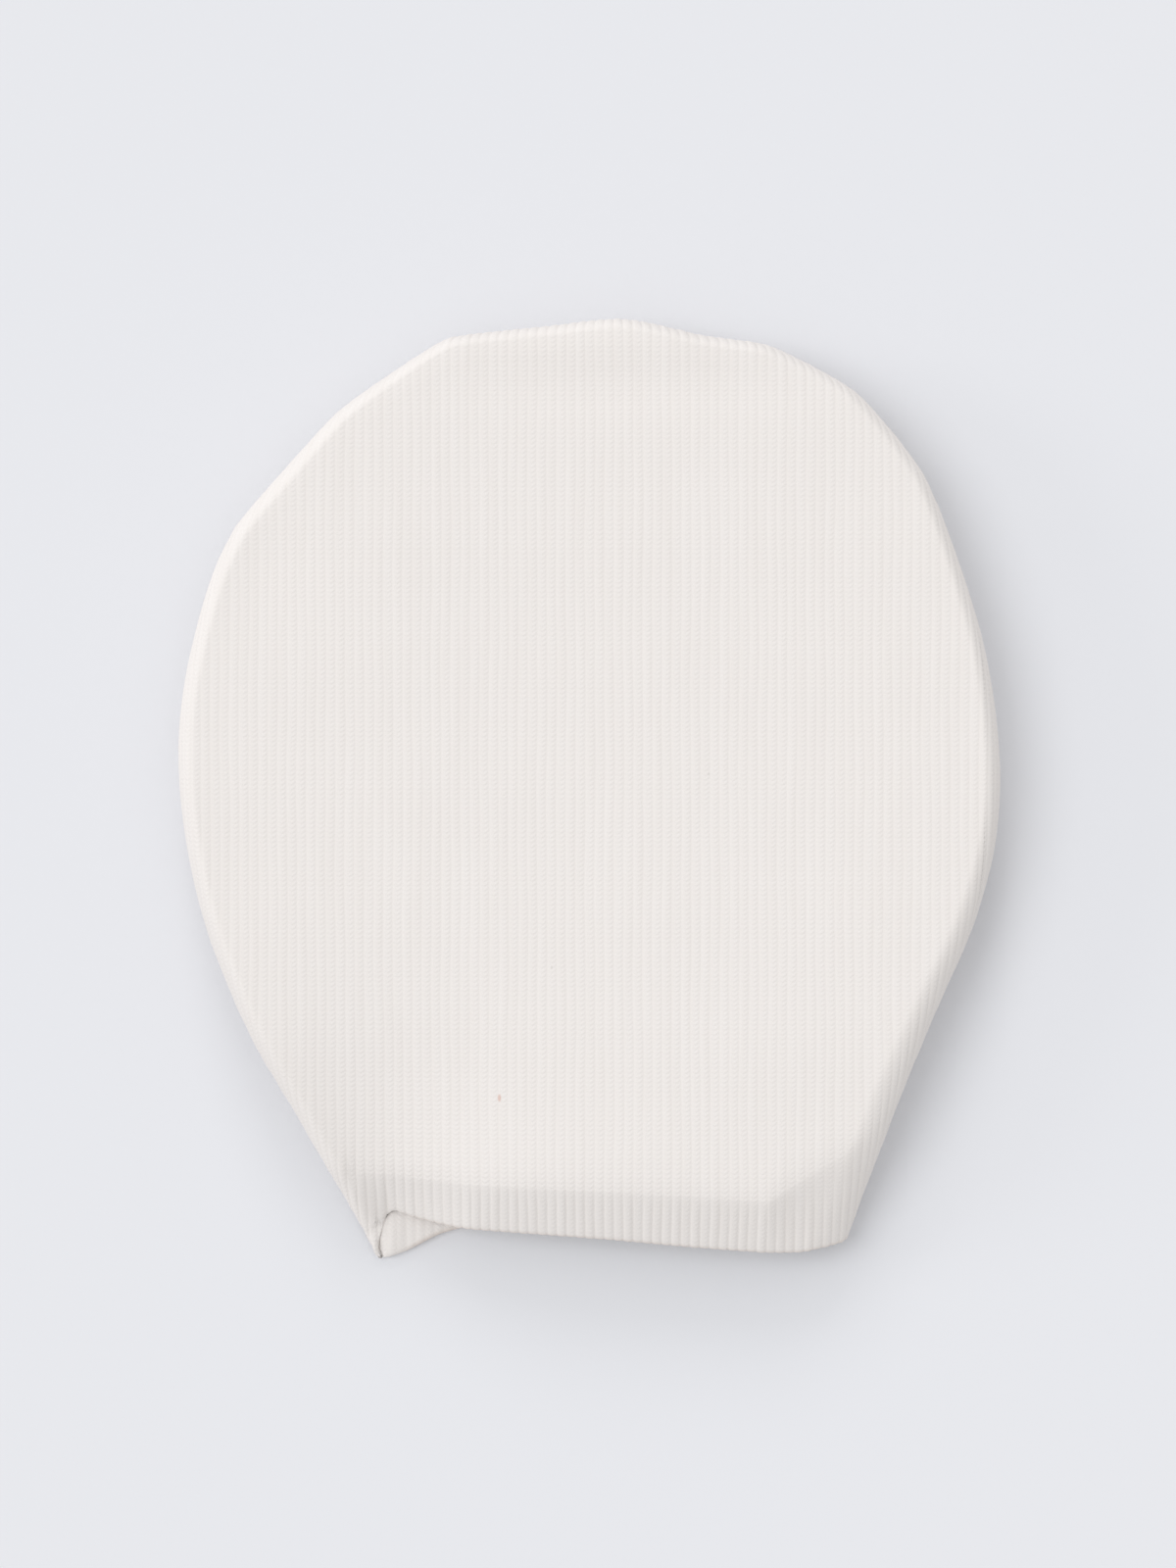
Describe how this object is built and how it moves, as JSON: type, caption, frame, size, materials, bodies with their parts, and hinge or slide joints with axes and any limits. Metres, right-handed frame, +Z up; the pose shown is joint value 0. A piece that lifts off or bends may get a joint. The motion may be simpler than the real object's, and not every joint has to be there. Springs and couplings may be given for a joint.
{
  "type": "baby turban cap",
  "caption": "Baby's soft pull-on turban cap in fine rib knit, lying flat: a full rounded crown that narrows to an open mouth with a turned hem.",
  "frame": {"origin": "on the surface that the cap lies on, below the middle of the cap's box", "axes": "+Z up from the surface, +Y from the mouth to the crown along the ribs, +X to the right seen from above with the crown away"},
  "size_m": [0.2178, 0.2503, 0.0244],
  "materials": {
    "rib_knit": "cream fine rib knit, soft and matt"
  },
  "bodies": {
    "root": {"upper_panel": "rib_knit", "under_panel": "rib_knit"}
  },
  "joints": []
}
